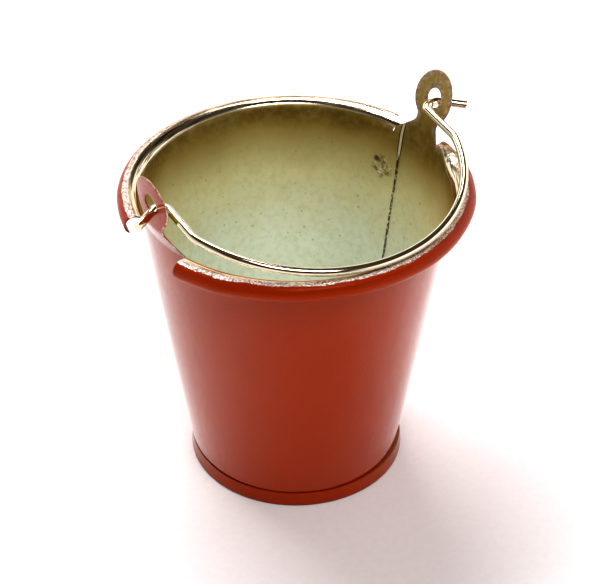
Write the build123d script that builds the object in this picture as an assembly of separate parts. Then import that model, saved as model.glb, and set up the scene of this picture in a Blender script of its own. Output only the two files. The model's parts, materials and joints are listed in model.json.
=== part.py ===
from build123d import *
import os
from math import acos, atan, atan2, cos, degrees, hypot, radians, sin, sqrt, tan

# Miniature tinplate pail: a seamed cone with two ears, a pressed bottom and a wire bail.
# Millimetres. +Z up, origin on the ground at the centre of the foot ring.
# The ears stand on the X axis. The bail lies forward, towards -Y, on the rim.

# Sheet and wire
SHEET = 0.3
WIRE_R = 0.915

# Wall cone, outside face
WALL_TOP_R = 33.3
WALL_TOP_Z = 66.4
WALL_FOOT_R = 23.68
WALL_FOOT_Z = 3.56
WALL_SLOPE = (WALL_TOP_R - WALL_FOOT_R) / (WALL_TOP_Z - WALL_FOOT_Z)
WALL_ANGLE = atan(WALL_SLOPE)

# Necked edge of the wall, held in the bottom's channel
NECK_R = 23.36
NECK_TOP_Z = 3.6
NECK_START_Z = 4.5

# Rolled rim, which turns outwards and stays open underneath
CURL_CENTRE_R = 35.93
CURL_CENTRE_Z = 68.49
CURL_R = 2.07
CURL_TURN = 150.0
CURL_CUT_ANGLE = 14.4
CURL_CUT_Z = 68.0

# Ears: round heads on short necks, in one piece with the wall
EAR_HEAD_R = 5.75
EAR_HEAD_Z = 79.3
EAR_NECK_HALF = 3.35
NECK_ARC_R = 1.8
EAR_FOOT_HALF = 7.8
EAR_FOOT_Z = 69.3
EAR_END_Z = 86.0
EAR_BEND_R = 3.0
HOLE_R = 2.1
HOLE_DROP = 0.18
LEFT_EAR_X = 35.74
LEFT_EAR_LEAN = 3.9
LEFT_EAR_ROOT_Z = 69.0
LEFT_EAR_BEND_Z = 73.2
RIGHT_EAR_X = 37.05
RIGHT_EAR_LEAN = 18.4
RIGHT_EAR_BEND_Z = 68.6

# Side seam: one end of the sheet laps inside the other
LAP_START_ANGLE = 9.5
LAP_WIDTH_ANGLE = 14.5
LAP_TOP_Z = 68.0
LAP_FOOT_Z = 5.0

# Bottom: a pressed pan whose folded edge grips the foot of the wall
BAND_FOOT_R = 24.04
CHANNEL_INNER_R = 22.6
PANEL_Z = 2.3
FOLD_R = 0.45

# Bail: straight legs, then one arc centred on the hinge
BAIL_X = 0.5
BAIL_R = 35.2
LEG_X = 33.35
SHOULDER_R = 6.0
LEG_BEND_R = 1.9
EAR_RUN = 1.6
HOOK_BEND_R = 1.6
HOOK_ANGLE = 38.0
HOOK_LENGTH = 5.54
FLARE_R = 1.06
FLARE_LENGTH = 0.7
HOLE_CLEARANCE = 0.04
RIM_CLEARANCE = 0.15


def wall_r(z):
    """Outside radius of the cone at height z."""
    return WALL_FOOT_R + (z - WALL_FOOT_Z) * WALL_SLOPE


def inside_r(z):
    """Inside radius of the cone at height z."""
    return wall_r(z) - SHEET / cos(WALL_ANGLE)


def sheet_section(path):
    """Section of bent sheet in the XZ plane: the path is one face, the sheet lies to its right."""
    return Plane.XZ * make_face(Wire(path.edges()).offset_2d(SHEET, side=Side.RIGHT))


def turned(section, start=0.0, angle=360.0):
    """Revolve a section about Z, beginning at the azimuth start."""
    return revolve(section, Axis.Z, angle).rotate(Axis.Z, start)


def wall():
    """Necked foot, cone and rolled rim, all from one sheet. The path is its inside face."""
    crest_z = CURL_CENTRE_Z + CURL_R
    reach = CURL_CENTRE_R - inside_r(WALL_TOP_Z) - (crest_z - WALL_TOP_Z) * WALL_SLOPE
    root_r = reach * cos(WALL_ANGLE) / (1 - sin(WALL_ANGLE))
    root_z = crest_z - root_r + root_r * sin(WALL_ANGLE)
    straight = Polyline(
        (NECK_R - SHEET, SHEET),
        (NECK_R - SHEET, NECK_TOP_Z),
        (inside_r(NECK_START_Z), NECK_START_Z),
        (inside_r(root_z), root_z),
    )
    root = JernArc(straight @ 1, straight % 1, root_r, degrees(WALL_ANGLE) - 90)
    roll = JernArc(root @ 1, root % 1, CURL_R, -CURL_TURN)
    return turned(sheet_section(straight + root + roll))


def curl_cut():
    """Region around the right ear in which the rolled rim is cut away from the wall."""
    far_r = CURL_CENTRE_R + 3 * CURL_R
    low_z = CURL_CENTRE_Z - 2 * CURL_R
    section = Polygon((wall_r(low_z), low_z), (far_r, low_z), (far_r, EAR_END_Z), (0, EAR_END_Z),
                      (0, CURL_CUT_Z), (wall_r(CURL_CUT_Z), CURL_CUT_Z), align=None)
    return turned(Plane.XZ * section, -CURL_CUT_ANGLE, 2 * CURL_CUT_ANGLE)


def ear_outline():
    """Ear seen along the X axis, carried through the wall's thickness."""
    neck_y = EAR_NECK_HALF + NECK_ARC_R
    neck_z = EAR_HEAD_Z - sqrt((EAR_HEAD_R + NECK_ARC_R) ** 2 - neck_y**2)
    to_foot = Vector(EAR_FOOT_HALF - neck_y, EAR_FOOT_Z - neck_z)
    touch_angle = atan2(to_foot.Y, to_foot.X) - acos(NECK_ARC_R / to_foot.length)
    touch = (neck_y + NECK_ARC_R * cos(touch_angle), neck_z + NECK_ARC_R * sin(touch_angle))
    half = Polygon((0, CURL_CUT_Z), (EAR_FOOT_HALF, CURL_CUT_Z), (EAR_FOOT_HALF, EAR_FOOT_Z),
                   touch, (neck_y, neck_z), (0, EAR_HEAD_Z), align=None)
    half -= Pos(neck_y, neck_z) * Circle(NECK_ARC_R)
    outline = half + mirror(half, Plane.YZ) + Pos(0, EAR_HEAD_Z) * Circle(EAR_HEAD_R)
    return extrude(Plane.YZ * outline, CURL_CENTRE_R + 3 * CURL_R)


def ear(path, x, lean):
    """Ear on the +X side, bent along the path, with its hole square to the head."""
    swing = CURL_CUT_ANGLE + 1
    plate = turned(sheet_section(path), -swing, 2 * swing) & ear_outline()
    lean_rad = radians(lean)
    centre = (x - HOLE_DROP * tan(lean_rad), 0, EAR_HEAD_Z - HOLE_DROP)
    axis = Plane(centre, z_dir=(cos(lean_rad), 0, -sin(lean_rad)))
    return plate - axis * Cylinder(HOLE_R, 4)


def head_r(x, lean, z):
    """Inside face of an ear's head at height z."""
    lean_rad = radians(lean)
    return x + (z - EAR_HEAD_Z) * tan(lean_rad) - SHEET / 2 / cos(lean_rad)


def left_ear():
    """Ear that is kicked out at its root and then stands nearly upright."""
    path = FilletPolyline(
        (inside_r(CURL_CUT_Z), CURL_CUT_Z),
        (inside_r(LEFT_EAR_ROOT_Z), LEFT_EAR_ROOT_Z),
        (head_r(LEFT_EAR_X, LEFT_EAR_LEAN, LEFT_EAR_BEND_Z), LEFT_EAR_BEND_Z),
        (head_r(LEFT_EAR_X, LEFT_EAR_LEAN, EAR_END_Z), EAR_END_Z),
        radius=EAR_BEND_R)
    return ear(path, LEFT_EAR_X, LEFT_EAR_LEAN).rotate(Axis.Z, 180)


def right_ear():
    """Ear that leans outwards from its root."""
    path = FilletPolyline(
        (inside_r(CURL_CUT_Z), CURL_CUT_Z),
        (head_r(RIGHT_EAR_X, RIGHT_EAR_LEAN, RIGHT_EAR_BEND_Z), RIGHT_EAR_BEND_Z),
        (head_r(RIGHT_EAR_X, RIGHT_EAR_LEAN, EAR_END_Z), EAR_END_Z),
        radius=EAR_BEND_R)
    return ear(path, RIGHT_EAR_X, RIGHT_EAR_LEAN)


def lap_layer(top_z, angle):
    """Part of the seam's inner layer, sunk half a sheet into the wall."""
    strip = Polygon(
        (inside_r(LAP_FOOT_Z) - SHEET, LAP_FOOT_Z), (inside_r(LAP_FOOT_Z) + SHEET / 2, LAP_FOOT_Z),
        (inside_r(top_z) + SHEET / 2, top_z), (inside_r(top_z) - SHEET, top_z), align=None)
    return turned(Plane.XZ * strip, LAP_START_ANGLE, angle)


def lap():
    """Inner layer of the side seam, which runs up into the foot of the right ear."""
    return lap_layer(LAP_TOP_Z, LAP_WIDTH_ANGLE) + (
        lap_layer(RIGHT_EAR_BEND_Z, CURL_CUT_ANGLE) & ear_outline())


def body_shell():
    """Wall, rolled rim, side seam and both ears: one bent sheet."""
    cut = curl_cut()
    return wall() - cut - cut.rotate(Axis.Z, 180) + right_ear() + left_ear() + lap()


def bottom_cap():
    """Pan with a raised panel. The path is its outer and lower face."""
    panel_under_z = PANEL_Z - SHEET
    folded = FilletPolyline(
        (WALL_FOOT_R, WALL_FOOT_Z), (BAND_FOOT_R, 0), (CHANNEL_INNER_R, 0),
        (CHANNEL_INNER_R, panel_under_z), (0, panel_under_z), radius=FOLD_R)
    return turned(sheet_section(folded))


def hole_bottom_z(lean):
    """Highest point along the bottom edge of a leaning ear's hole."""
    lean_rad = radians(lean)
    return EAR_HEAD_Z - HOLE_DROP - HOLE_R * cos(lean_rad) + SHEET / 2 * sin(lean_rad)


def hinge_z():
    """Height of the wire's axis when it lies in the bottom of both holes."""
    rest = max(hole_bottom_z(LEFT_EAR_LEAN), hole_bottom_z(RIGHT_EAR_LEAN))
    return rest + WIRE_R + HOLE_CLEARANCE


def bail_tilt():
    """Angle below level at which the bail comes down on the front of the rim."""
    drop = hinge_z() - CURL_CENTRE_Z
    span = hypot(CURL_CENTRE_R, drop)
    reach = CURL_R + WIRE_R + RIM_CLEARANCE
    apart = acos((span**2 + BAIL_R**2 - reach**2) / (2 * span * BAIL_R))
    return degrees(atan2(drop, CURL_CENTRE_R) - apart)


def bail_half():
    """Centre line from the wire's end to the middle of the arc, on the left of the bail's plane."""
    hook = radians(HOOK_ANGLE)
    shoulder_y = sqrt((BAIL_R - SHOULDER_R) ** 2 - (LEG_X - SHOULDER_R) ** 2)
    shoulder_turn = degrees(atan2(shoulder_y, LEG_X - SHOULDER_R))
    tip_x = -(LEG_X + LEG_BEND_R + EAR_RUN + HOOK_BEND_R * sin(hook) + HOOK_LENGTH * cos(hook))
    tip_y = HOOK_BEND_R * (1 - cos(hook)) + HOOK_LENGTH * sin(hook)
    run_x = -(LEG_X + LEG_BEND_R + EAR_RUN)
    end = Line((tip_x, tip_y), (run_x - HOOK_BEND_R * sin(hook), HOOK_BEND_R * (1 - cos(hook))))
    hook_bend = JernArc(end @ 1, end % 1, HOOK_BEND_R, HOOK_ANGLE)
    run = Line(hook_bend @ 1, hook_bend @ 1 + Vector(EAR_RUN, 0))
    leg_bend = JernArc(run @ 1, run % 1, LEG_BEND_R, 90)
    leg = Line(leg_bend @ 1, (-LEG_X, shoulder_y))
    shoulder = JernArc(leg @ 1, leg % 1, SHOULDER_R, -shoulder_turn)
    arc = JernArc(shoulder @ 1, shoulder % 1, BAIL_R, shoulder_turn - 90)
    return [end, hook_bend, run, leg_bend, leg, shoulder, arc]


def bail_wire():
    """Round wire swept along both halves, with a small burr flared at each cut end."""
    tilt = radians(bail_tilt())
    plane = Plane((BAIL_X, 0, hinge_z()), x_dir=(1, 0, 0), z_dir=(0, sin(tilt), -cos(tilt)))
    left = bail_half()
    solid = Part()
    for edge in left:
        start = Plane(origin=edge @ 0, z_dir=edge % 0)
        solid += sweep(start * Circle(WIRE_R), path=edge)
    end = left[0]
    solid += Plane(origin=end @ 0, z_dir=end % 0) * Cone(
        FLARE_R, WIRE_R, FLARE_LENGTH, align=(Align.CENTER, Align.CENTER, Align.MIN))
    solid += mirror(solid, Plane.YZ)
    return plane * solid


def main():
    os.makedirs("parts", exist_ok=True)
    for make in (body_shell, bottom_cap, bail_wire):
        export_step(make(), f"parts/{make.__name__}.step")
    print(f"hinge height {hinge_z():.3f} mm, bail tilt {bail_tilt():.2f} degrees")


main()
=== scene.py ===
import json
import math

import bmesh
import bpy
import numpy as np
from mathutils import Matrix, Vector, noise
from mathutils.geometry import delaunay_2d_cdt


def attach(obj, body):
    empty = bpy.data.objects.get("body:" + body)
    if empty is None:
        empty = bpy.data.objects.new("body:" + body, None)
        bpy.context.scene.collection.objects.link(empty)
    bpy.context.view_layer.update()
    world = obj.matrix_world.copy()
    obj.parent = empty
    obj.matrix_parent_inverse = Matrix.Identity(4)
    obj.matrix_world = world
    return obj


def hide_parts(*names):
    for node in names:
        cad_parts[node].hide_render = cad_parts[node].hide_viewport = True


# A miniature tinplate pail: painted outside, bare tin inside, with a bright wire bail.
# Mesh code works in millimetres, and add_mesh() scales it to the frame's metres.

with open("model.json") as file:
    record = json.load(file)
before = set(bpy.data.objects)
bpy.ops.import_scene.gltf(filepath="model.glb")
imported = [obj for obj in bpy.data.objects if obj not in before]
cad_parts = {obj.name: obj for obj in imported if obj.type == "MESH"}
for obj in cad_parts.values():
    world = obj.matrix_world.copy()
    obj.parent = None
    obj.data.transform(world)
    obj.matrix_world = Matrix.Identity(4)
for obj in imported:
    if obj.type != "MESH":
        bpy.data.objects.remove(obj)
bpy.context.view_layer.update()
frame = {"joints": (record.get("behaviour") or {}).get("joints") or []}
MM = 0.001

# Sheet and wire, and how far the sheet's cut edges are rounded
SHEET = 0.3
WIRE_R = 0.915
EDGE_TRIM = 0.075

# The paint attribute: mm past the line where paint starts, and what it says well clear of that line
BARE = -9.0
PAINTED = 3.0

# Wall cone, outside face
WALL_TOP_R = 33.3
WALL_TOP_Z = 66.4
WALL_FOOT_R = 23.68
WALL_FOOT_Z = 3.56
WALL_SLOPE = (WALL_TOP_R - WALL_FOOT_R) / (WALL_TOP_Z - WALL_FOOT_Z)
WALL_ANGLE = math.atan(WALL_SLOPE)
NECK_R = 23.36
NECK_TOP_Z = 3.6
NECK_START_Z = 4.5

# Rolled rim; CURL_CUT and TORN_CUT are where it is cut away, each side of an ear's middle
CURL_CENTRE_R = 35.93
CURL_CENTRE_Z = 68.49
CURL_R = 2.07
CURL_TURN = math.radians(150)
CURL_CUT = math.radians(14.4)
TORN_CUT = math.radians(8.9)
CURL_CUT_Z = 68.0
PATCH_Z = 66.0
PAINT_EDGE = 0.8
PAINT_EDGE_RIGHT = 0.25
PAINT_EDGE_BACK = 2.1

# How far the hand-bent rim stands out and up at some azimuths (degrees, mm, mm)
RIM_SHAPE = ((-180, 0.15, 0.0), (-165, 0.4, -0.35), (-150, 0.4, -0.3), (-138, 0.1, -0.1),
             (-124, 0.0, 0.0), (-108, -0.15, 0.15), (-60, -0.25, 0.05), (-38, 0.3, 0.0),
             (-20, 0.5, 0.0), (0, 0.0, 0.0), (90, 0.0, 0.0), (150, 0.15, 0.0), (180, 0.15, 0.0))

# Ears
EAR_HEAD_R = 5.75
EAR_HEAD_Z = 79.3
EAR_NECK_HALF = 3.35
NECK_ARC_R = 1.8
EAR_FOOT_HALF = 7.8
EAR_FOOT_Z = 69.3
TORN_FOOT_HALF = 5.0
TORN_FOOT_Z = 70.8
HOLE_R = 2.1
HOLE_DROP = 0.18
SCORCH_Z = 82.3
LEFT_EAR = {"x": 35.74, "lean": math.radians(3.9), "bends": (69.0, 73.2)}
RIGHT_EAR = {"x": 37.05, "lean": math.radians(18.4), "bends": (68.6,)}
EAR_BEND_R = 3.0

# Mesh of the ears: spacing, rings inside their edges, and how ragged those edges are
GRID_STEP = 0.42
EDGE_RINGS = (0.05, 0.13)
RAGGED = 0.06
RAGGED_TORN = 0.03

# Side seam: the inner layer's edge, where the lap ends, and where it is sprung open
LAP_START = math.radians(9.5)
LAP_END = math.radians(24.0)
LAP_FADE = math.radians(9.0)
LAP_FOOT_Z = 5.0
LAP_SPRUNG = math.radians(4.0)
SPRUNG_Z = 62.0

# Spot weld on the seam
WELD_ANGLE = math.radians(16.7)
WELD_Z = 58.8
WELD_R = 2.4

# Bottom pan, and the azimuths and widths of its two rusty stretches
BAND_FOOT_R = 24.04
CHANNEL_INNER_R = 22.6
PANEL_Z = 2.3
FOLD_R = 0.45
PAN_TURNS = 300
RUSTY = ((math.radians(-50), 0.42), (math.radians(163), 0.36))

# Bail: each half runs through its ear at a slant, and the right one's end is hooked further
BAIL_X = 0.5
BAIL_R = 35.2
LEG_X = 33.35
SHOULDER_R = 6.0
LEG_BEND_R = 1.9
LEFT_SLANT = math.radians(27)
LEFT_RUN = 6.16
LEFT_LEG_START = 2.46
RIGHT_RUN = 1.06
HOOK_BEND_R = 1.6
HOOK_ANGLE = math.radians(37.5)
HOOK_LENGTH = 6.2
FLARE_R = 1.06
FLARE_LENGTH = 0.7
WIRE_SIDES = 28
HINGE_Z = frame["joints"][0]["pos_m"][2] / MM
RIM_CLEARANCE = 0.15


# ---------------------------------------------------------------- small helpers

def smooth(low, high, x):
    """Smooth step from 0 at low to 1 at high."""
    t = min(1.0, max(0.0, (x - low) / (high - low)))
    return t * t * (3 - 2 * t)


def bump_at(x, centre, width):
    """Bell of height 1."""
    return math.exp(-(((x - centre) / width) ** 2))


def wrap(angle):
    return (angle + math.pi) % (2 * math.pi) - math.pi


def waves(x, y, z, scale, seed=0.0):
    """Smooth noise between about -1 and 1, with features of the given size in mm."""
    return noise.noise(Vector((x / scale + seed, y / scale - seed, z / scale + 2 * seed)))


def add_object(name, data):
    obj = bpy.data.objects.new(name, data)
    bpy.context.scene.collection.objects.link(obj)
    return obj


def add_mesh(name, verts, faces, attributes=None, smooth_angle=35):
    """Mesh object from points in mm, its doubles merged and its shading smoothed below an angle."""
    mesh = bpy.data.meshes.new(name)
    mesh.from_pydata([[c * MM for c in v] for v in verts], [], faces)
    for key, values in (attributes or {}).items():
        layer = mesh.attributes.new(key, "FLOAT", "POINT")
        layer.data.foreach_set("value", values)
    bm = bmesh.new()
    bm.from_mesh(mesh)
    bmesh.ops.remove_doubles(bm, verts=bm.verts, dist=2e-6)
    bmesh.ops.recalc_face_normals(bm, faces=bm.faces)
    bm.to_mesh(mesh)
    bm.free()
    mesh.shade_smooth()
    mesh.set_sharp_from_angle(angle=math.radians(smooth_angle))
    return add_object(name, mesh)


# ---------------------------------------------------------------- sheet geometry

def wall_r(z):
    return WALL_FOOT_R + (z - WALL_FOOT_Z) * WALL_SLOPE


def inside_r(z):
    return wall_r(z) - SHEET / math.cos(WALL_ANGLE)


def arc_points(centre, radius, start, turn, count):
    """(r, z, towards the centre) along an arc, clockwise for a positive turn."""
    for i in range(count + 1):
        a = start - turn * i / count
        out = (math.cos(a), math.sin(a))
        yield centre[0] + radius * out[0], centre[1] + radius * out[1], -out[0], -out[1]


def wall_rows():
    """Rows (r, z, outward r, outward z) up the wall's inside face, from its foot to PATCH_Z."""
    outward = (math.cos(WALL_ANGLE), -math.sin(WALL_ANGLE))
    rows = [(NECK_R - SHEET, SHEET, 1.0, 0.0), (NECK_R - SHEET, 2.0, 1.0, 0.0),
            (NECK_R - SHEET, NECK_TOP_Z - 0.2, 1.0, 0.0), (NECK_R - SHEET, NECK_TOP_Z, 0.97, -0.2)]
    rows += [(inside_r(NECK_START_Z) - 0.02, NECK_START_Z - 0.1, 0.97, -0.24)]
    fine = WELD_Z - 1.6 * WELD_R, WELD_Z + 1.6 * WELD_R
    z = NECK_START_Z + 0.2
    while z < PATCH_Z - 0.05:
        rows.append((inside_r(z), z, *outward))
        z += 0.16 if fine[0] < z < fine[1] else 1.1
    rows.append((inside_r(PATCH_Z), PATCH_Z, *outward))
    return rows


def cut_rows():
    """Rows between PATCH_Z and the height at which the rim is cut free."""
    outward = (math.cos(WALL_ANGLE), -math.sin(WALL_ANGLE))
    steps = [PATCH_Z + (CURL_CUT_Z - PATCH_Z) * i / 4 for i in range(1, 5)]
    return [(inside_r(z), z, *outward) for z in steps]


def curl_rows():
    """Rows round the rolled rim, and the arc length of each from the crest."""
    crest_z = CURL_CENTRE_Z + CURL_R
    reach = CURL_CENTRE_R - inside_r(WALL_TOP_Z) - (crest_z - WALL_TOP_Z) * WALL_SLOPE
    root_r = reach * math.cos(WALL_ANGLE) / (1 - math.sin(WALL_ANGLE))
    root_turn = math.pi / 2 - WALL_ANGLE
    rows = list(arc_points((CURL_CENTRE_R, crest_z - root_r), root_r,
                           math.pi - WALL_ANGLE, root_turn, 16))
    lengths = [-root_r * root_turn * (1 - i / 16) for i in range(17)]
    roll = list(arc_points((CURL_CENTRE_R, CURL_CENTRE_Z), CURL_R, math.pi / 2, CURL_TURN, 44))
    rows += roll[1:]
    lengths += [CURL_R * CURL_TURN * i / 44 for i in range(1, 45)]
    return rows, lengths


def ear_profile(ear):
    """Function giving an ear's inside face as (r, outward r, outward z) at height z."""
    def head(z):
        lean = ear["lean"]
        return ear["x"] + (z - EAR_HEAD_Z) * math.tan(lean) - SHEET / 2 / math.cos(lean)

    knots = [(60.0, inside_r(60.0))]
    if len(ear["bends"]) == 2:
        knots.append((ear["bends"][0], inside_r(ear["bends"][0])))
    knots.append((ear["bends"][-1], head(ear["bends"][-1])))
    knots.append((90.0, head(90.0)))

    def corner(z, k):
        """Rounded corner at knot k: the lines' mean over a short window."""
        z0, r0 = knots[k]
        before = (knots[k][1] - knots[k - 1][1]) / (knots[k][0] - knots[k - 1][0])
        after = (knots[k + 1][1] - knots[k][1]) / (knots[k + 1][0] - knots[k][0])
        half = EAR_BEND_R * abs(math.tan((math.atan(after) - math.atan(before)) / 2)) + 0.2
        t = z - z0
        if t <= -half:
            return before * t
        if t >= half:
            return after * t
        return before * t + (after - before) * (t + half) ** 2 / (4 * half)

    def r_at(z):
        for k in range(1, len(knots) - 1):
            middle = (knots[k][0] + knots[k + 1][0]) / 2 if k + 1 < len(knots) - 1 else 1e9
            if z <= middle:
                return knots[k][1] + corner(z, k)
        return head(z)

    def at(z):
        slope = (r_at(z + 0.01) - r_at(z - 0.01)) / 0.02
        size = math.hypot(1, slope)
        return r_at(z), 1 / size, -slope / size

    return at


def lap_depth(phi, z):
    """How far the seam's inner layer stands inside the wall."""
    if not LAP_START < phi < LAP_END + LAP_FADE:
        return 0.0
    foot = smooth(LAP_FOOT_Z - 0.4, LAP_FOOT_Z, z)
    top = 1 - smooth(CURL_CUT_Z, CURL_CUT_Z + 1.6, z) if phi > CURL_CUT else 1.0
    sprung = smooth(58.0, 66.0, z) * (1 - smooth(LAP_START, LAP_START + LAP_SPRUNG, phi))
    return SHEET * foot * top * (1 - smooth(LAP_END, LAP_END + LAP_FADE, phi)) * (1 + sprung)


def weld_height(phi, z):
    """Relief of the spot weld: a squashed ring with a pit at its upper left."""
    u = (phi - WELD_ANGLE) * 31.0
    v = z - WELD_Z
    d = math.hypot(u, v)
    if d > 2 * WELD_R:
        return 0.0
    rough = waves(u, v, 0, 0.5, 3.1)
    ring = bump_at(d + 0.5 * rough, 0.72 * WELD_R, 0.34)
    pit = bump_at(math.hypot(u - 1.7, v - 1.6), 0, 0.6)
    rubbed = 1 - smooth(WELD_R, 1.6 * WELD_R, d)
    return 0.17 * ring - 0.06 * bump_at(d, 0, 1.0) - 0.22 * pit + 0.09 * rough * rubbed


def dents(phi, z):
    """How far the hand-formed sheet stands out or in, in mm."""
    x, y = 30 * math.cos(phi), 30 * math.sin(phi)
    slow = 0.07 * waves(x, y, z * 0.7, 16, 1.3) + 0.03 * waves(x, y, z, 6, 4.2)
    return slow * smooth(5, 14, z)


def rim_shape(phi):
    """How far the rolled rim stands out and up at an azimuth."""
    degrees = math.degrees(wrap(phi))
    for (a, out_a, up_a), (b, out_b, up_b) in zip(RIM_SHAPE, RIM_SHAPE[1:]):
        if degrees <= b:
            t = smooth(a, b, degrees)
            break
    x, y = 30 * math.cos(phi), 30 * math.sin(phi)
    fine = 0.04 * waves(x, y, 0, 4, 2.2) - 0.06
    return out_a + (out_b - out_a) * t + fine, up_a + (up_b - up_a) * t


def paint_edge(phi):
    """Where the paint starts past the rim's crest: nearer at front right, further at the back."""
    right = bump_at(wrap(phi - math.radians(-25)), 0, math.radians(48))
    back = bump_at(wrap(phi - math.radians(58)), 0, math.radians(60))
    edge = PAINT_EDGE + (PAINT_EDGE_RIGHT - PAINT_EDGE) * right
    return edge + (PAINT_EDGE_BACK - PAINT_EDGE) * back + 2.4 * tear(phi)


def cut_skew(phi, along):
    """Azimuth shift that slants the rim's cut end behind the right ear."""
    near = 1 - smooth(CURL_CUT, CURL_CUT + math.radians(9), phi)
    if phi < CURL_CUT - 1e-4 or near == 0.0:
        return 0.0
    inner = bump_at(along, -1.9, 1.0) * smooth(-3.6, -2.6, along)
    return math.radians(near * (2.6 * smooth(-0.6, 1.2, along) - 2.8 * inner))


def tear(phi):
    """1 at the torn end of the rim in front of the right ear, fading along the rim."""
    if phi > -TORN_CUT * 0.9:
        return 0.0
    return smooth(math.radians(-26), math.radians(-9.5), phi)


def crumple(phi, along):
    """Shift in and up of the torn end, at a distance along the section from the crest."""
    amount = tear(phi) * smooth(-3.6, -0.6, along)
    if amount == 0.0:
        return 0.0, 0.0
    fold = waves(phi * 36, along, 0, 1.5, 9.4) + 0.5 * waves(phi * 36, along, 0, 0.6, 3.3)
    return -0.95 * amount - 0.4 * amount * fold, 0.85 * amount + 0.3 * amount * fold


def sheet_point(r, z, out_r, out_z, phi, depth, push=0.0):
    """Point at depth mm from the inside face, through the sheet."""
    radius = r + out_r * depth + push
    return radius * math.cos(phi), radius * math.sin(phi), z + out_z * depth


def shell_columns():
    """Azimuths of the wall's columns, crowded at the seam, the weld and the rim's cut ends."""
    angles = {round(math.radians(d), 6) for d in range(-180, 180)}
    for cut, sign in CUTS:
        for step in (0.0, 0.08, 0.2, 0.5):
            angles.add(round(wrap(cut + sign * math.radians(step)), 6))
    angles |= {round(LAP_START + math.radians(d), 6) for d in (-0.2, -0.04, 0.04, 0.2)}
    angles |= {round(WELD_ANGLE + math.radians(d * 0.25), 6) for d in range(-22, 23)}
    angles |= {round(-TORN_CUT - math.radians(d * 0.33), 6) for d in range(1, 44)}
    ordered = sorted(angles)
    kept = [ordered[0]]
    exact = {round(wrap(cut), 6) for cut, _ in CUTS}
    for a in ordered[1:]:
        if a - kept[-1] > math.radians(0.05) or a in exact:
            kept.append(a)
    return kept


# Azimuth at which each cut end of the rim stands, and the direction in which the rim goes on
CUTS = ((-TORN_CUT, -1), (CURL_CUT, 1), (math.pi - CURL_CUT, -1), (-math.pi + CURL_CUT, 1))


def in_notch(phi):
    """Signed angle inside (negative) or outside the gaps cut for the ears."""
    phi = wrap(phi)
    at_right = phi - CURL_CUT if phi > 0 else -phi - TORN_CUT
    return min(at_right, abs(wrap(phi - math.pi)) - CURL_CUT)


def grid_faces(index, columns, height, keep, flip):
    """Quads between a ring of columns of that height, where keep says so."""
    faces = []
    for i in range(columns):
        j = (i + 1) % columns
        for k in range(height - 1):
            if keep(i, j, k):
                quad = [index(i, k), index(j, k), index(j, k + 1), index(i, k + 1)]
                faces.append(quad[::-1] if flip else quad)
    return faces


def ear_half_outline(foot_half=EAR_FOOT_HALF, foot_z=EAR_FOOT_Z):
    """Half outline (y, z) of an ear, from the top of the head down to its foot."""
    neck_y = EAR_NECK_HALF + NECK_ARC_R
    neck_z = EAR_HEAD_Z - math.sqrt((EAR_HEAD_R + NECK_ARC_R) ** 2 - neck_y**2)
    head_end = math.atan2(neck_z - EAR_HEAD_Z, neck_y)
    to_foot = (foot_half - neck_y, foot_z - neck_z)
    touch = math.atan2(to_foot[1], to_foot[0]) - math.acos(NECK_ARC_R / math.hypot(*to_foot))
    points = []
    for i in range(46):
        a = math.pi / 2 + (head_end - math.pi / 2) * i / 45
        points.append((EAR_HEAD_R * math.cos(a), EAR_HEAD_Z + EAR_HEAD_R * math.sin(a)))
    start = head_end + math.pi
    end = touch + 2 * math.pi
    for i in range(1, 13):
        a = start + (end - start) * i / 12
        points.append((neck_y + NECK_ARC_R * math.cos(a), neck_z + NECK_ARC_R * math.sin(a)))
    last = points[-1]
    for i in range(1, 8):
        t = i / 7
        points.append((last[0] + (foot_half - last[0]) * t, last[1] + (foot_z - last[1]) * t))
    for i in range(1, 5):
        points.append((foot_half, foot_z + (CURL_CUT_Z + 0.12 - foot_z) * i / 4))
    points.append((foot_half + 0.07, CURL_CUT_Z + 0.02))
    return points


def inside_polygon(points, polygon):
    """Which points lie inside a closed polygon."""
    x, y = points[:, 0], points[:, 1]
    result = np.zeros(len(points), bool)
    for (x0, y0), (x1, y1) in zip(polygon, polygon[1:] + polygon[:1]):
        crosses = (y0 > y) != (y1 > y)
        with np.errstate(divide="ignore", invalid="ignore"):
            at = (x1 - x0) * (y - y0) / (y1 - y0) + x0
        result ^= crosses & (x < at)
    return result


def distance_to(points, loop):
    """Least distance from each point to the corners of a finely cut loop."""
    loop = np.array(loop)
    return np.sqrt(((points[:, None, :] - loop[None, :, :]) ** 2).sum(2)).min(1)


def inset(points, amounts):
    """An open or closed run of points moved to its left by its own amounts."""
    moved = []
    count = len(points)
    for i, amount in enumerate(amounts):
        before, after = points[max(0, i - 1)], points[min(count - 1, i + 1)]
        direction = Vector((after[0] - before[0], after[1] - before[1])).normalized()
        moved.append((points[i][0] - direction.y * amount, points[i][1] + direction.x * amount))
    return moved


def is_clear(point, loop):
    """Whether a point stands clear of a loop's corners."""
    return min(math.dist(point, q) for q in loop) > 0.16


def refine(loop, parts=4):
    """A loop with extra points between its corners."""
    return [(a[0] + (b[0] - a[0]) * i / parts, a[1] + (b[1] - a[1]) * i / parts)
            for a, b in zip(loop, loop[1:] + loop[:1]) for i in range(parts)]


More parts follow.
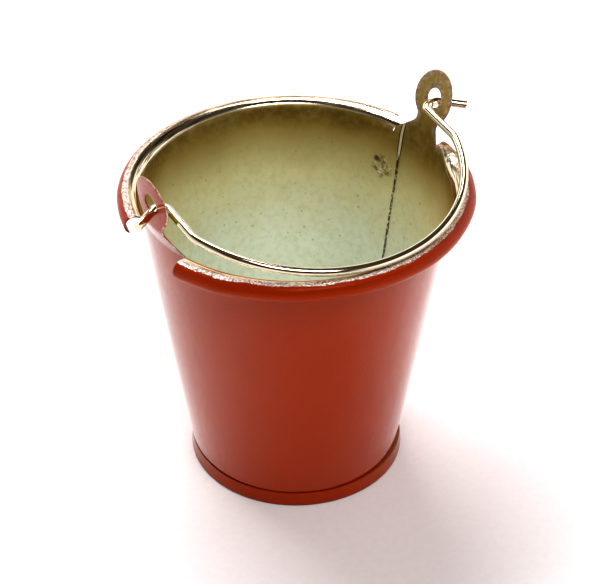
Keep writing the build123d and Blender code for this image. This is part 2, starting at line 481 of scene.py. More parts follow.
def ear_free_edge(torn, side):
    """Ragged outline of an ear and its gap's floor, and a taper that is 0 at the outline's ends."""
    half = ear_half_outline()
    low_half = ear_half_outline(TORN_FOOT_HALF, TORN_FOOT_Z) if torn else half
    free = ([(-y, z) for y, z in low_half[::-1]] + half[1:])[::-1]
    length = np.cumsum([0] + [math.dist(a, b) for a, b in zip(free, free[1:])])
    taper = [smooth(0.0, 0.9, end) for end in np.minimum(length, length[-1] - length)]
    ragged = RAGGED_TORN if torn else RAGGED
    moves = [t * ragged * max(0.05, 0.3 + waves(p[0], p[1], side * 9, 0.8, 5.5))
             for t, p in zip(taper, free)]
    return inset(free, moves), taper


def seam_runs(profile, boundary, free):
    """Two close lines up the seam's edge, as far as the sheet goes."""
    runs = []
    for offset in (-0.04, 0.04):
        angle = LAP_START + math.radians(offset)
        line = [(profile(z)[0] * math.sin(angle), z) for z in np.arange(PATCH_Z, 71.6, 0.35)]
        inside = inside_polygon(np.array(line), boundary)
        line = [p for n, (p, ok) in enumerate(zip(line, inside)) if ok or n == 0]
        runs.append([p for p in line if is_clear(p, free)])
    return runs


def filling(boundary, holes, seam):
    """Staggered grid of points that stand clear of the boundary, the hole and the seam."""
    step = GRID_STEP
    grid = np.array([((i + (k % 2) / 2) * step, PATCH_Z + 0.34 + k * step * 0.87)
                     for k in range(60) for i in range(-22, 23)])
    keep = inside_polygon(grid, boundary) & ~inside_polygon(grid, holes[0])
    keep &= (distance_to(grid, boundary) > 0.33) & (distance_to(grid, holes[2]) > 0.25)
    for line in seam:
        keep &= distance_to(grid, line) > 0.2
    return grid[keep]


def triangulate(boundary, holes, runs, extra):
    """Points and triangles inside the boundary, with every loop and run kept as edges."""
    points, edges = [], []
    for loop, closed in [(loop, True) for loop in [boundary, *holes]] + [(r, False) for r in runs]:
        start = len(points)
        points.extend(loop)
        edges.extend((start + i, start + i + 1) for i in range(len(loop) - 1))
        if closed:
            edges.append((start + len(loop) - 1, start))
    points.extend(map(tuple, extra))
    out = delaunay_2d_cdt([Vector(p) for p in points], edges, [], 0, 1e-5)
    flat = np.array([v[:] for v in out[0]])
    tris = [list(f) for f in out[2]]
    middle = np.array([flat[t].mean(0) for t in tris])
    good = inside_polygon(middle, boundary) & ~inside_polygon(middle, holes[0])
    return flat, [t for t, g in zip(tris, good) if g]


def open_edges(tris):
    """Edges that only one triangle has."""
    links = {}
    for t in tris:
        for a, b in zip(t, t[1:] + t[:1]):
            key = (min(a, b), max(a, b))
            links[key] = links.get(key, 0) + 1
    return {key for key, n in links.items() if n == 1}


def ear_patch(ear, columns, side):
    """Notch floor and ear: points, faces and attributes of one region of the sheet."""
    profile = ear_profile(ear)
    torn = side == 0
    low_cut = TORN_CUT if torn else CURL_CUT
    free, taper = ear_free_edge(torn, side)
    bottom = sorted(a for a in (wrap(c - side) for c in columns)
                    if -low_cut - 1e-6 <= a <= CURL_CUT + 1e-6)
    low_r = profile(PATCH_Z)[0]
    base = [(low_r * math.sin(a), PATCH_Z) for a in bottom]
    sides = [(inside_r(z) * math.sin(CURL_CUT), z) for _, z, _, _ in cut_rows()]
    low_sides = [(-inside_r(z) * math.sin(low_cut), z) for _, z, _, _ in cut_rows()]
    boundary = base + sides + free + low_sides[::-1]
    hole_z = EAR_HEAD_Z - HOLE_DROP
    turns = [2 * math.pi * i / 56 for i in range(56)]
    holes = [[(r * math.cos(a), hole_z + r * math.sin(a)) for a in turns]
             for r in (HOLE_R, HOLE_R + EDGE_RINGS[0], HOLE_R + EDGE_RINGS[1])]
    rings = [inset(free, [width * t for t in taper]) for width in EDGE_RINGS]
    seam = seam_runs(profile, boundary, free) if torn else []
    flat, tris = triangulate(boundary, holes, [rings[0][3:-3], rings[1][5:-5], *seam],
                             filling(boundary, holes, seam))

    edge_d = np.minimum(distance_to(flat, refine(free)), distance_to(flat, refine(holes[0])))
    inner, outer, paint_out, dirt, cut_edge = [], [], [], [], []
    for (y, z), d in zip(flat, edge_d):
        r, out_r, out_z = profile(z)
        phi = math.asin(y / r)
        free_here = smooth(CURL_CUT_Z, CURL_CUT_Z + 0.9, z)
        trim = EDGE_TRIM * (1 - smooth(0.0, EDGE_RINGS[1], d)) * free_here
        lap = lap_depth(phi, z) if torn else 0.0
        push = dents(phi + side, z)
        inner.append(sheet_point(r, z, out_r, out_z, phi + side, trim - lap, push))
        outer.append(sheet_point(r, z, out_r, out_z, phi + side, SHEET - trim, push))
        chipped = d - 0.06 if torn else 0.75 * d - 0.12
        paint_out.append(PAINTED if z < CURL_CUT_Z else chipped)
        rub = smooth(69.0, 75.0, z) * (1 - smooth(0.4, 1.7, d))
        dirt.append(0.95 * torn * max(rub, 0.8 * bump_at(math.hypot(y, z - SCORCH_Z), 0, 1.4)))
        at_neck = smooth(71.5, 72.3, z) * (1 - smooth(76.0, 77.2, z))
        at_hole = math.hypot(y, z - hole_z) < HOLE_R + 0.02
        cut_edge.append((not torn) * (d < 0.02) * max(at_neck, at_hole))
    count = len(inner)
    faces = [t[::-1] for t in tris] + [[i + count for i in t] for t in tris]
    for a, b in open_edges(tris):
        if max(flat[a][1], flat[b][1]) >= CURL_CUT_Z + 1e-4:
            faces.append([a, b, b + count, a + count])
    return (inner + outer, faces, [BARE] * count + paint_out, dirt + [0.0] * count,
            cut_edge + cut_edge)


def shell_faces(columns, height, straight, free_from):
    """Faces of the wall and rim on both sides of the sheet, and the strips between the sides."""
    size = len(columns) * height

    def keep(i, j, k):
        outside = in_notch(columns[i]) > -1e-5 and in_notch(columns[j]) > -1e-5
        spans = abs(wrap(columns[j] - columns[i])) < math.radians(3)
        return k < straight - 1 or (outside and spans)

    faces = []
    for layer in (0, 1):
        faces += grid_faces(lambda i, k: layer * size + i * height + k,
                            len(columns), height, keep, layer == 0)
    for i in range(len(columns)):
        j = (i + 1) % len(columns)
        if keep(i, j, height - 2):
            a, b = i * height + height - 1, j * height + height - 1
            faces.append([a, b, b + size, a + size])
        a, b = i * height, j * height
        faces.append([b, a, a + size, b + size])
    for i, phi in enumerate(columns):
        if abs(in_notch(phi)) < 2e-6:
            for a in range(i * height + free_from, i * height + height - 1):
                faces.append([a, a + 1, a + 1 + size, a + size])
    return faces


def make_shell():
    """The whole sheet: wall, rolled rim, seam, spot weld and ears."""
    columns = shell_columns()
    straight = wall_rows()
    cut = cut_rows()
    curl, lengths = curl_rows()
    rows = straight + cut + curl
    free_from = len(straight) + len(cut) - 1
    along = [BARE] * (len(straight) + len(cut)) + lengths
    verts, paint, dirt, cut_edge = [], [], [], []
    for layer in (0, 1):
        for phi in columns:
            gap = in_notch(phi)
            red_end = float(abs(gap) < 1e-4 and abs(phi) > math.pi / 2)
            for k, (r, z, out_r, out_z) in enumerate(rows):
                on_curl = smooth(-3.4, 0.0, along[k])
                out, up = rim_shape(phi)
                fold_out, fold_up = crumple(phi, along[k])
                push = dents(phi, min(z, CURL_CUT_Z)) * (1 - on_curl) + out * on_curl + fold_out
                trim = 0.0
                if k > free_from:
                    trim = EDGE_TRIM * (1 - smooth(0.0, math.radians(0.22), gap))
                    trim = max(trim, 0.07 if k == len(rows) - 1 else 0.0)
                lap = lap_depth(phi, z) if k <= free_from + 8 else 0.0
                depth = SHEET - trim if layer else trim - lap - weld_height(phi, z)
                turn = phi + (cut_skew(phi, along[k]) if k > free_from else 0.0)
                verts.append(sheet_point(r, z + up * on_curl + fold_up, out_r, out_z,
                                         turn, depth, push))
                paint.append(PAINTED if layer else along[k] - paint_edge(phi))
                dirt.append(tear(phi) * on_curl)
                cut_edge.append(red_end * (k > free_from))
    faces = shell_faces(columns, len(rows), len(straight), free_from)
    for ear, side in ((RIGHT_EAR, 0.0), (LEFT_EAR, math.pi)):
        start = len(verts)
        more, ear_faces, *values = ear_patch(ear, columns, side)
        verts += more
        for whole, part in zip((paint, dirt, cut_edge), values):
            whole += part
        faces += [[i + start for i in f] for f in ear_faces]
    return add_mesh("pail_shell", verts, faces, {"paint": paint, "dirt": dirt, "cut": cut_edge})


# ---------------------------------------------------------------- bottom pan

def rounded_path(corners, radius, steps):
    """Open polyline with its inner corners rounded."""
    path = [Vector(corners[0])]
    for before, here, after in zip(corners, corners[1:], corners[2:]):
        here = Vector(here)
        to_before, to_after = (Vector(before) - here), (Vector(after) - here)
        half = to_before.angle(to_after) / 2
        reach = radius / math.tan(half)
        start = here + to_before.normalized() * reach
        end = here + to_after.normalized() * reach
        centre = here + (to_before.normalized() + to_after.normalized()).normalized() * (
            radius / math.sin(half))
        path += [(start.lerp(end, i / steps) - centre).normalized() * radius + centre
                 for i in range(steps + 1)]
    path.append(Vector(corners[-1]))
    return path


def band_stand(phi):
    """How far the crimped band stands off the wall at an azimuth."""
    return 0.04 + 0.62 * bump_at(wrap(phi - math.radians(-48)), 0, math.radians(42))


def foot_section():
    """Outer face of the pan, from the wall over the band's lip and under the ring to the middle."""
    under = PANEL_Z - SHEET
    lip = [(WALL_FOOT_R - 0.28, WALL_FOOT_Z - 0.34), (WALL_FOOT_R - 0.22, WALL_FOOT_Z - 0.12),
           (WALL_FOOT_R - 0.1, WALL_FOOT_Z - 0.02), (WALL_FOOT_R + 0.02, WALL_FOOT_Z - 0.05)]
    rest = rounded_path([(WALL_FOOT_R + 0.06, WALL_FOOT_Z - 0.3), (BAND_FOOT_R, 0),
                         (CHANNEL_INNER_R, 0), (CHANNEL_INNER_R, under), (16.0, under)], FOLD_R, 8)
    dense = [Vector(p) for p in lip]
    for a, b in zip(rest, rest[1:]):
        parts = max(1, int((b - a).length / 0.5))
        dense += [a.lerp(b, i / parts) for i in range(parts)]
    dense += [Vector((r, under)) for r in (16.0, 12.0, 8.0, 4.0, 0.8)]
    return dense


def section_normals(section):
    """Directions into the sheet along a section."""
    ends = [section[0], *section, section[-1]]
    ways = [(after - before).normalized() for before, after in zip(ends, ends[2:])]
    return [Vector((d.y, -d.x)) for d in ways]


def make_bottom():
    """Pressed pan: rounded lip, band, fold, inner ring and raised panel, as closed sheet."""
    section = foot_section()
    normals = section_normals(section)
    turns = [2 * math.pi * i / PAN_TURNS for i in range(PAN_TURNS)]
    verts, paint, rust = [], [], []
    for layer in (0, 1):
        for phi in turns:
            stand = band_stand(phi)
            x, y = 24 * math.cos(phi), 24 * math.sin(phi)
            wavy = 0.05 * waves(x, y, 0, 2.5, 8.1)
            for k, (p, n) in enumerate(zip(section, normals)):
                depth = 0.0 if layer == 0 else (0.06, 0.14, 0.24)[k] if k < 3 else SHEET
                q = p + n * depth
                out = smooth(WALL_FOOT_R - 0.28, WALL_FOOT_R, q.x)
                top = smooth(1.6, WALL_FOOT_Z - 0.3, q.y) * out
                radius = q.x + stand * out + wavy * top
                verts.append((radius * math.cos(phi), radius * math.sin(phi),
                              q.y + (wavy - 0.05) * top))
                paint.append((2.0 if layer == 0 else -1.0) if p.x > 22.9 else -2.0)
                rusty = max(bump_at(wrap(phi - angle), 0, width) for angle, width in RUSTY)
                rust.append(rusty * smooth(1.6, 3.0, q.y) * (layer == 0))
    height = len(section)
    size = PAN_TURNS * height
    faces = []
    for layer in (0, 1):
        faces += grid_faces(lambda i, k: layer * size + i * height + k,
                            PAN_TURNS, height, lambda i, j, k: True, layer == 1)
        ring = [layer * size + i * height + height - 1 for i in range(PAN_TURNS)]
        faces.append(ring[::-1] if layer else ring)
    for i in range(PAN_TURNS):
        a, b = i * height, (i + 1) % PAN_TURNS * height
        faces.append([b, a, a + size, b + size])
    return add_mesh("pail_bottom", verts, faces, {"paint": paint, "dirt": rust, "rust": rust})


# ---------------------------------------------------------------- bail

def bail_tilt():
    """Angle below level at which the bail comes down on the front of the rim."""
    drop = HINGE_Z - CURL_CENTRE_Z
    span = math.hypot(CURL_CENTRE_R, drop)
    reach = CURL_R + WIRE_R + RIM_CLEARANCE
    apart = math.acos((span**2 + BAIL_R**2 - reach**2) / (2 * span * BAIL_R))
    return math.atan2(drop, CURL_CENTRE_R) - apart


def bail_half(slant, run, hook, hook_length, leg_start):
    """Centre line (x, y) of one half in the bail's plane, from the wire's end to its middle.

    The wire runs through the ear at a slant, and a hook turns it further."""
    points = []
    heading = [-slant - hook]
    shoulder_y = math.sqrt((BAIL_R - SHOULDER_R) ** 2 - (LEG_X - SHOULDER_R) ** 2)
    shoulder_turn = math.atan2(shoulder_y, LEG_X - SHOULDER_R)
    here = [Vector((0, 0))]

    def straight(length, step):
        count = max(1, round(length / step))
        direction = Vector((math.cos(heading[0]), math.sin(heading[0])))
        for i in range(count):
            points.append(here[0] + direction * (length * i / count))
        here[0] = here[0] + direction * length

    def bend(radius, turn, step):
        count = max(2, round(radius * abs(turn) / step))
        sign = 1 if turn > 0 else -1
        left = Vector((-math.sin(heading[0]), math.cos(heading[0])))
        centre = here[0] + left * radius * sign
        spoke = here[0] - centre
        for i in range(count):
            points.append(centre + Matrix.Rotation(turn * i / count, 2) @ spoke)
        here[0] = centre + Matrix.Rotation(turn, 2) @ spoke
        heading[0] += turn

    if hook:
        straight(hook_length, 0.35)
        bend(HOOK_BEND_R, hook, 0.2)
    straight(run, 0.4)
    bend(LEG_BEND_R, math.pi / 2 + slant, 0.2)
    straight(shoulder_y - leg_start, 0.5)
    bend(SHOULDER_R, -shoulder_turn, 0.25)
    bend(BAIL_R, shoulder_turn - math.pi / 2, 0.7)
    points.append(here[0])
    shift = Vector((0, BAIL_R)) - here[0]
    return [p + shift for p in points]


def make_bail():
    """Round wire with a cropped, slightly spread end on each side."""
    left = bail_half(LEFT_SLANT, LEFT_RUN, 0.0, 0.0, LEFT_LEG_START)
    right = bail_half(0.0, RIGHT_RUN, HOOK_ANGLE, HOOK_LENGTH, LEG_BEND_R)
    path = left + [Vector((-p.x, p.y)) for p in right[-2::-1]]
    length = np.cumsum([0] + [(b - a).length for a, b in zip(path, path[1:])])
    tilt = bail_tilt()
    across = Vector((0, -math.cos(tilt), -math.sin(tilt)))
    normal = Vector((0, math.sin(tilt), -math.cos(tilt)))
    along = Vector((1, 0, 0))
    origin = Vector((BAIL_X, 0, HINGE_Z))
    around = WIRE_SIDES
    verts, faces = [], []
    count = len(path)
    for i, p in enumerate(path):
        before, after = path[max(0, i - 1)], path[min(count - 1, i + 1)]
        d = (after - before).normalized()
        side = along * -d.y + across * d.x
        centre = origin + along * p.x + across * p.y
        end = min(length[i], length[-1] - length[i])
        radius = WIRE_R - 0.01 + (FLARE_R - WIRE_R) * (1 - smooth(0.05, FLARE_LENGTH, end)) ** 2
        if end < 1e-6:
            radius -= 0.12
        for j in range(around):
            a = 2 * math.pi * j / around
            nick = 0.012 * waves(i * 0.3, 3 * math.cos(a), 3 * math.sin(a), 1.0, 6.6)
            verts.append(centre + (side * math.cos(a) + normal * math.sin(a)) * (radius + nick))
    for i in range(count - 1):
        for j in range(around):
            a, b = i * around + j, i * around + (j + 1) % around
            faces.append([a, b, b + around, a + around])
    for i, flip in ((0, False), (count - 1, True)):
        ring = [i * around + j for j in range(around)]
        centre = sum((Vector(verts[k]) for k in ring), Vector()) / around
        hub = len(verts)
        d = (path[1] - path[0]).normalized() if i == 0 else (path[-2] - path[-1]).normalized()
        verts.append(centre + (along * d.x + across * d.y) * 0.06)
        for j in range(around):
            tri = [ring[j], ring[(j + 1) % around], hub]
            faces.append(tri if flip else tri[::-1])
    return add_mesh("pail_bail", [v[:] for v in verts], faces, smooth_angle=50)


# ---------------------------------------------------------------- materials

# Colours, one or a pair that noise moves between
# Inside tin from low to high: pale, then olive and dark brown towards the rim as painted shade
TIN_LOW = (0.76, 0.82, 0.75), (0.83, 0.89, 0.81)
TIN_HIGH_SHADED = (0.66, 0.62, 0.36), (0.76, 0.72, 0.46)
TIN_TOP_SHADED = (0.31, 0.22, 0.06)
# Painted shadow under the rolled rim
TIN_RIM_SHADOW = (0.12, 0.075, 0.012)
SPECK = (0.20, 0.14, 0.05)
MOTTLE = (0.36, 0.33, 0.17)
PATCHES = (0.55, 0.50, 0.22)
SCORCHED = (0.20, 0.135, 0.07), (0.46, 0.37, 0.30)
DRAWN = (0.24, 0.195, 0.12), (0.74, 0.68, 0.55)
WORN = (0.20, 0.15, 0.13), (0.88, 0.83, 0.80)
# Painted highlight on the seam's riser; the seam's dark colour is part dirt, part painted shade
RISER_HIGHLIGHT = (0.92, 0.88, 0.74)
SEAM_DIRT_AND_SHADE = (0.03, 0.02, 0.01)
SCRATCHED = (0.10, 0.085, 0.05)
POLISHED = (0.85, 0.85, 0.75)
RED = (0.37, 0.036, 0.001), (0.40, 0.041, 0.001)
# Painted shade on the red just under the rim's crest
RED_RIM_SHADE = (0.20, 0.012, 0.001)
RED_CUT = (0.16, 0.008, 0.004)
RUST = (0.24, 0.12, 0.035)
# Painted contact shadow along the foot where it meets the floor
CONTACT_SHADOW = (0.03, 0.016, 0.01)
NICKEL = (0.72, 0.64, 0.47), (0.82, 0.76, 0.62)
PAPER = (0.80, 0.765, 0.775), (0.90, 0.87, 0.88)


class Nodes:
    """Short hand for adding nodes to one tree, with its coordinates at hand."""

    def __init__(self, tree, coordinates="Object"):
        self.tree = tree
        self.where = self.node("TexCoord", {}).outputs[coordinates]

    def link(self, source, socket):
        """Feed a socket from another one, a number, a colour (tuple) or a vector (list)."""
        if isinstance(source, tuple):
            socket.default_value = (*source, 1.0)
        elif isinstance(source, (int, float, list)):
            socket.default_value = source
        else:
            self.tree.links.new(source, socket)

    def node(self, kind, inputs, **settings):
        """New node of a kind, with its settings and its inputs by name or number."""
        node = self.tree.nodes.new("ShaderNode" + kind)
        for key, value in settings.items():
            setattr(node, key, value)
        for key, value in inputs.items():
            self.link(value, node.inputs[key])
        return node

    def noise(self, size_mm, detail=2.0, roughness=0.5, stretch=(1, 1, 1)):
        """Noise from 0 to 1 with features of about that size."""
        scale = [s / (size_mm * MM) for s in stretch]
        at = self.node("Mapping", {"Scale": scale, "Vector": self.where}).outputs["Vector"]
        return self.node("TexNoise", {"Scale": 1.0, "Detail": detail, "Roughness": roughness,
                                      "Vector": at}).outputs["Fac"]

    def spots(self, spacing_mm):
        """Distance from the nearest of scattered points, in units of their spacing."""
        scale = [1 / (spacing_mm * MM)] * 3
        at = self.node("Mapping", {"Scale": scale, "Vector": self.where}).outputs["Vector"]
        return self.node("TexVoronoi", {"Scale": 1.0, "Vector": at}).outputs["Distance"]

    def math(self, operation, a, b=0.0):
        return self.node("Math", {0: a, 1: b}, operation=operation).outputs[0]

    def times(self, a, b):
        return self.math("MULTIPLY", a, b)

    def without(self, value):
        return self.math("SUBTRACT", 1.0, value)

    def ramp(self, value, low, high, to_low=0.0, to_high=1.0):
        """Smooth step of a value from one range to another."""
        inputs = {"Value": value, "From Min": low, "From Max": high,
                  "To Min": to_low, "To Max": to_high}
        return self.node("MapRange", inputs, interpolation_type="SMOOTHSTEP").outputs["Result"]

    def mix(self, factor, a, b):
        inputs = {"Factor": factor, "A": a, "B": b}
        return self.node("Mix", inputs, data_type="RGBA").outputs["Result"]

    def mix_value(self, factor, a, b):
        return self.node("Mix", {0: factor, 2: a, 3: b}, data_type="FLOAT").outputs[0]

    def vector(self, operation, a, b):
        return self.node("VectorMath", {0: a, 1: b}, operation=operation).outputs

    def attribute(self, name):
        return self.node("Attribute", {}, attribute_name=name).outputs["Fac"]

    def height(self):
        return self.node("SeparateXYZ", {0: self.where}).outputs["Z"]

    def radius(self):
        """Distance from the pail's axis."""
        level = self.vector("MULTIPLY", self.where, [1, 1, 0])["Vector"]
        return self.vector("LENGTH", level, [0, 0, 0])["Value"]

    def bump(self, value, strength, distance_mm, normal=None):
        inputs = {"Strength": strength, "Distance": distance_mm * MM, "Height": value}
        if normal is not None:
            inputs["Normal"] = normal
        return self.node("Bump", inputs).outputs["Normal"]


def new_material(name):
    """A material, its nodes and its Principled shader's inputs."""
    material = bpy.data.materials.new(name)
    material.use_nodes = True
    shader = material.node_tree.nodes["Principled BSDF"]
    return material, Nodes(material.node_tree), shader.inputs


def azimuth_distance(n, angle, radius_mm):
    """Distance in mm along a circle of that radius from an azimuth."""
    place = n.node("SeparateXYZ", {0: n.where}).outputs
    turn = n.math("ARCTAN2", place["Y"], place["X"])
    return n.times(n.math("SUBTRACT", turn, angle), radius_mm)


def drawn_lines(n, paint):
    """Fine lines along the rolled rim, left by the roller."""
    across, along = n.times(paint, 2.2), n.times(azimuth_distance(n, 0.0, 36.0), 0.12)
    place = n.node("CombineXYZ", {0: across, 1: along}).outputs[0]
    return n.node("TexNoise", {"Scale": 1.0, "Detail": 3.0, "Vector": place}).outputs["Fac"]


def seam_line(n):
    """Dark broken line along the lap's edge, fading downwards, part joint and part painted shade;
    where sprung open, two painted shade lines and a painted highlight on the riser.
    """
    off = azimuth_distance(n, LAP_START, 30.0)
    wobble = n.times(n.math("SUBTRACT", n.noise(1.5, 3.0), 0.5), 0.35)
    sprung = n.ramp(n.height(), SPRUNG_Z * MM, (SPRUNG_Z + 2) * MM)
    off = n.math("ABSOLUTE", n.math("ADD", off, n.times(wobble, n.without(sprung))))
    line = n.ramp(off, 0.1, 0.3, 1.0, 0.0)
    shade_lines = n.ramp(n.math("ABSOLUTE", n.math("SUBTRACT", off, 0.24)), 0.08, 0.2, 1.0, 0.0)
    line = n.mix_value(sprung, line, shade_lines)
    broken = n.math("MAXIMUM", sprung, n.ramp(n.noise(0.7, 3.0, 0.7), 0.38, 0.52))
    fading = n.ramp(n.height(), 0.012, 0.040, 0.25, 1.0)
    riser_highlight = n.times(n.ramp(off, 0.03, 0.1, 1.0, 0.0), sprung)
    return n.times(line, n.times(broken, fading)), riser_highlight


def spot(n, angle, z_mm, inner_mm, outer_mm):
    """1 near a place on the wall, falling to 0."""
    r = inside_r(z_mm) * MM
    place = [r * math.cos(angle), r * math.sin(angle), z_mm * MM]
    far = n.vector("DISTANCE", n.where, place)["Value"]
    return n.ramp(far, inner_mm * MM, outer_mm * MM, 1.0, 0.0)


def tin_look(n):
    """Colour, roughness and grain of bare tinplate with a satin face, darkened by painted shade
    from pale low down to olive and dark brown towards the rim.
    """
    cloud = n.noise(9.0, 3.0)
    grain = n.noise(0.45, 3.0, 0.6, (1, 1, 0.5))
    dots = n.ramp(n.spots(1.7), 0.08, 0.2, 1.0, 0.0)
    few = n.ramp(n.spots(6.1), 0.03, 0.08, 0.8, 0.0)
    some = n.ramp(n.noise(3.0, 1.0), 0.48, 0.62)
    speck = n.math("MAXIMUM", n.times(dots, some), few)
    level = n.math("ADD", n.height(), n.times(n.math("SUBTRACT", cloud, 0.5), 0.006))
    # Painted shade: olive and then dark brown with height up the inside
    colour = n.mix(n.ramp(level, 0.034, 0.060), n.mix(cloud, *TIN_LOW), n.mix(cloud, *TIN_HIGH_SHADED))
    colour = n.mix(n.ramp(level, 0.052, 0.067), colour, TIN_TOP_SHADED)
    # Painted shadow: near-black brown on the tin just under the rolled rim and up the ears' necks
    rim_shadow = n.times(n.ramp(level, 0.063, 0.069), n.ramp(level, 0.070, 0.077, 1.0, 0.0))
    colour = n.mix(n.times(rim_shadow, 0.8), colour, TIN_RIM_SHADOW)
    colour = n.mix(n.times(speck, 0.4), colour, SPECK)
    colour = n.mix(n.ramp(n.noise(1.4, 4.0, 0.65), 0.42, 0.72, 0.0, 0.2), colour, MOTTLE)
    colour = n.mix(n.ramp(n.noise(4.5, 3.0, 0.6), 0.42, 0.7, 0.0, 0.14), colour, PATCHES)
    return colour, n.mix_value(grain, 0.34, 0.46), grain


def rim_look(n, paint, colour, rough):
    """Drawn tin round the rolled rim, scuffed next to the paint, and two masks for its relief."""
    crest = n.times(n.ramp(paint, -4.5, -3.7), n.ramp(n.height(), 0.050, 0.055))
    drawn = drawn_lines(n, paint)
    scuffed = n.ramp(n.noise(0.35, 3.0, 0.65), 0.40, 0.58)
    worn = n.ramp(paint, -1.7, -0.9)
    bright = n.mix(worn, n.mix(n.ramp(drawn, 0.36, 0.54), *DRAWN), n.mix(scuffed, *WORN))
    rough = n.mix_value(crest, rough, n.mix_value(worn, 0.16, 0.34))
    colour = n.mix(crest, colour, bright)
    return colour, rough, crest, n.times(crest, drawn), n.times(worn, scuffed)


def seam_and_weld(n, paint, colour):
    """The inside's seam and its weld's pit, scratches and shine, and where they are dark; the
    seam's dark lines are partly painted shade and its riser a painted highlight.
    """
    inside = n.ramp(paint, -2.6, -2.2, 1.0, 0.0)
    line, riser_highlight = seam_line(n)
    # Painted highlight on the sprung seam's riser
    colour = n.mix(n.times(riser_highlight, inside), colour, RISER_HIGHLIGHT)
    pit = spot(n, WELD_ANGLE + math.radians(3.1), WELD_Z + 1.6, 0.35, 1.1)
    # The seam's dark line, part joint and part painted shade, and the weld's pit
    dark = n.times(n.math("MAXIMUM", line, pit), inside)
    colour = n.mix(n.times(dark, 0.88), colour, SEAM_DIRT_AND_SHADE)
    rubbed = spot(n, WELD_ANGLE, WELD_Z, 1.8, 3.4)
    scratched = n.times(rubbed, n.ramp(n.noise(1.3, 4.0, 0.75), 0.45, 0.62))
    colour = n.mix(n.times(scratched, 0.8), colour, SCRATCHED)
    polished = n.times(rubbed, n.ramp(n.noise(0.9, 3.0, 0.7), 0.52, 0.66))
    return n.mix(n.times(polished, 0.6), colour, POLISHED), dark


def soiled(n, colour, rough):
    """Scorched brown and pinkish mottling where the dirt attribute is set."""
    mottle = n.ramp(n.noise(0.9, 4.0, 0.7), 0.35, 0.65)
    amount = n.times(n.attribute("dirt"), n.ramp(n.noise(1.6, 2.0), 0.25, 0.5, 0.45, 1.0))
    return n.mix(amount, colour, n.mix(mottle, *SCORCHED)), n.mix_value(amount, rough, 0.5)


def below_rim_top(n, amount):
    """An amount below the top of the rolled rim, and 0 on the ears above it."""
    return n.ramp(n.height(), 0.0712, 0.0720, amount, 0.0)


def enamel(n, paint):
    """Red paint, darker with painted shade where the rolled rim turns out under its crest."""
    # Painted shade on the red just under the rim's crest
    under = n.times(n.ramp(paint, 0.8, 3.0, 0.55, 0.0), below_rim_top(n, 1.0))
    return n.mix(under, n.mix(n.noise(14.0, 2.0), *RED), RED_RIM_SHADE)


def lacquer(n, painted):
    """Weight of the clear coat: full on the painted wall, thin on the rolled rim and the foot."""
    rolled = n.times(n.ramp(n.radius(), 0.0352, 0.0357), below_rim_top(n, 0.88))
    wall = n.times(n.without(rolled), n.ramp(n.height(), 0.0030, 0.0042, 0.6, 1.0))
    return n.times(painted, wall)


def pail_material():
    """Red enamel outside and bare tin inside, meeting in a chipped line along the rim and edges."""
    material, n, shader = new_material("painted_tin")
    paint = n.attribute("paint")
    chips = n.times(n.math("SUBTRACT", n.noise(0.4, 4.0, 0.7), 0.5), 1.1)
    drift = n.times(n.math("SUBTRACT", n.noise(5.0, 2.0), 0.5), 0.9)
    painted = n.ramp(n.math("ADD", n.math("ADD", paint, chips), drift), -0.04, 0.04)
    colour, rough, grain = tin_look(n)
    colour, rough, crest, drawn, scuffed = rim_look(n, paint, colour, rough)
    colour, dark = seam_and_weld(n, paint, colour)
    colour, rough = soiled(n, colour, rough)
    colour = n.mix(painted, colour, enamel(n, paint))
    rust = n.times(n.attribute("rust"), n.ramp(n.noise(0.5, 4.0, 0.7), 0.36, 0.56))
    colour = n.mix(n.times(rust, 0.8), colour, RUST)
    # Painted contact shadow: near-black on the lowest half millimetre of the pan
    colour = n.mix(n.ramp(n.height(), 0.00005, 0.0006, 0.85, 0.0), colour, CONTACT_SHADOW)
    cut = n.attribute("cut")
    metal = n.times(n.without(n.math("MAXIMUM", painted, cut)), n.without(n.times(dark, 0.8)))
    relief = n.bump(n.mix_value(painted, grain, n.noise(0.9, 2.0)), 0.08, 0.05)
    relief = n.bump(drawn, 0.5, 0.10, relief)
    relief = n.bump(scuffed, 0.7, 0.07, relief)
    n.link(n.mix(cut, colour, RED_CUT), shader["Base Color"])
    n.link(n.times(metal, n.mix_value(crest, 0.25, 1.0)), shader["Metallic"])
    n.link(n.mix_value(painted, rough, 0.16), shader["Roughness"])
    n.link(n.bump(painted, 0.6, 0.04, relief), shader["Normal"])
    n.link(lacquer(n, painted), shader["Coat Weight"])
    shader["Coat IOR"].default_value = 1.27
    shader["Coat Roughness"].default_value = 0.10
    shader["Specular IOR Level"].default_value = 0.25
    shader["Specular Tint"].default_value = (1.0, 0.4, 0.1, 1.0)
    return material


def wire_material():
    """Bright nickel plate with fine drawing marks."""
    material, n, shader = new_material("nickel_wire")
    n.link(n.mix(n.noise(3.0, 2.0), *NICKEL), shader["Base Color"])
    n.link(n.mix_value(n.noise(0.8, 3.0), 0.06, 0.13), shader["Roughness"])
    n.link(n.bump(n.noise(0.4, 3.0), 0.04, 0.04), shader["Normal"])
    shader["Metallic"].default_value = 1.0
    return material


def floor_material():
    """White paper with a faint speckle."""
    material, n, shader = new_material("paper_floor")
    n.link(n.mix(n.noise(1.6, 4.0, 0.7), *PAPER), shader["Base Color"])
    shader["Roughness"].default_value = 0.9
    shader["Specular IOR Level"].default_value = 0.2
    return material


# ---------------------------------------------------------------- stage

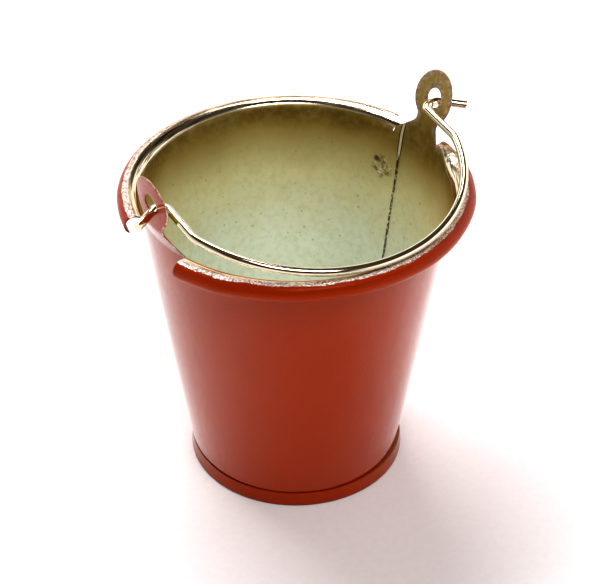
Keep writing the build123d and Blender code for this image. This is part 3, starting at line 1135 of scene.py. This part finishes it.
# Level directions across the view and away from the viewer
AWAY = [0.5816, 0.8135, 0.0]
ASIDE = [0.8135, -0.5816, 0.0]
LIGHT_TARGET = Vector((0, 0, 0.04))
FLOOR_HALF = 1.6
DIM = 0.07
DIM_TINT = (1.0, 0.68, 0.34)
CAMERA_AZIMUTH = math.radians(-35.56)
CAMERA_ELEVATION = math.radians(36.55)
CAMERA_ROLL = math.radians(0.41)
CAMERA_DISTANCE = 0.4182
CAMERA_LENS = 113.5
AIM_RIGHT = 0.00094
AIM_Z = 0.04193


def add_panel(name, place, size, power):
    """Soft rectangular light that faces the pail."""
    light = bpy.data.lights.new(name, "AREA")
    light.shape = "RECTANGLE"
    light.size, light.size_y = size
    light.energy = power
    panel = add_object(name, light)
    panel.location = place
    panel.rotation_mode = "QUATERNION"
    panel.rotation_quaternion = (LIGHT_TARGET - Vector(place)).to_track_quat("-Z", "Y")


def make_floor():
    mesh = bpy.data.meshes.new("paper_floor")
    h = FLOOR_HALF
    mesh.from_pydata([(-h, -h, 0), (h, -h, 0), (h, h, 0), (-h, h, 0)], [], [(0, 1, 2, 3)])
    mesh.materials.append(floor_material())
    add_object("paper_floor", mesh)


def make_world():
    """White studio walls, low down at the back and sides, and a dim warm room everywhere else."""
    world = bpy.data.worlds.new("studio")
    world.use_nodes = True
    bpy.context.scene.world = world
    n = Nodes(world.node_tree, "Generated")

    def towards(axis, low, high, strength):
        """Brightness that rises as the surroundings turn towards an axis."""
        return n.ramp(n.vector("DOT_PRODUCT", n.where, axis)["Value"], low, high, 0.0, strength)

    left = towards([-c for c in ASIDE], 0.45, 0.85, 0.7)
    right = towards(ASIDE, 0.5, 0.85, 1.3)
    walls = n.math("MAXIMUM", n.math("MAXIMUM", towards(AWAY, 0.0, 0.5, 1.2), right), left)
    total = n.math("MAXIMUM", n.times(walls, towards([0, 0, -1], -0.55, -0.35, 1.0)), DIM)
    tint = n.node("ValToRGB", {"Fac": total})
    dim, bright = tint.color_ramp.elements
    dim.color, bright.color, bright.position = (*DIM_TINT, 1), (1, 1, 1, 1), 0.3
    background = world.node_tree.nodes["Background"].inputs
    n.link(total, background["Strength"])
    n.link(tint.outputs["Color"], background["Color"])


def make_camera():
    """Camera at the measured angle, aimed just right of the axis."""
    a, e = CAMERA_AZIMUTH, CAMERA_ELEVATION
    back = Vector((math.sin(a) * math.cos(e), -math.cos(a) * math.cos(e), math.sin(e)))
    right = Vector((math.cos(a), math.sin(a), 0))
    up = back.cross(right)
    c, s = math.cos(CAMERA_ROLL), math.sin(CAMERA_ROLL)
    aim = right * AIM_RIGHT + Vector((0, 0, AIM_Z))
    right, up = c * right + s * up, c * up - s * right
    data = bpy.data.cameras.new("camera")
    data.lens = CAMERA_LENS
    data.sensor_width = 36
    data.clip_start = 0.01
    camera = add_object("camera", data)
    turn = Matrix((right, up, back)).transposed().to_4x4()
    camera.matrix_world = Matrix.Translation(aim + back * CAMERA_DISTANCE) @ turn
    bpy.context.scene.camera = camera


# ---------------------------------------------------------------- scene

def main():
    make_camera()
    make_floor()
    make_world()
    add_panel("light_back", (0.06, 0.48, 0.88), (0.68, 0.40), 7.5)
    add_panel("light_front_top", (-0.17, -0.54, 1.0), (0.6, 0.42), 5.2)
    tin = pail_material()
    shell, bottom, bail = make_shell(), make_bottom(), make_bail()
    for piece, node, body, slot, material in (
            (shell, "body_shell", "pail", "painted_tin", tin),
            (bottom, "bottom_cap", "pail", "painted_tin", tin),
            (bail, "bail_wire", "bail", "plated_wire", wire_material())):
        piece.data.materials.append(material)
        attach(piece, body)
        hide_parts(node)
    bpy.context.scene.view_settings.view_transform = "Standard"
    bpy.context.scene.view_settings.look = "High Contrast"


main()
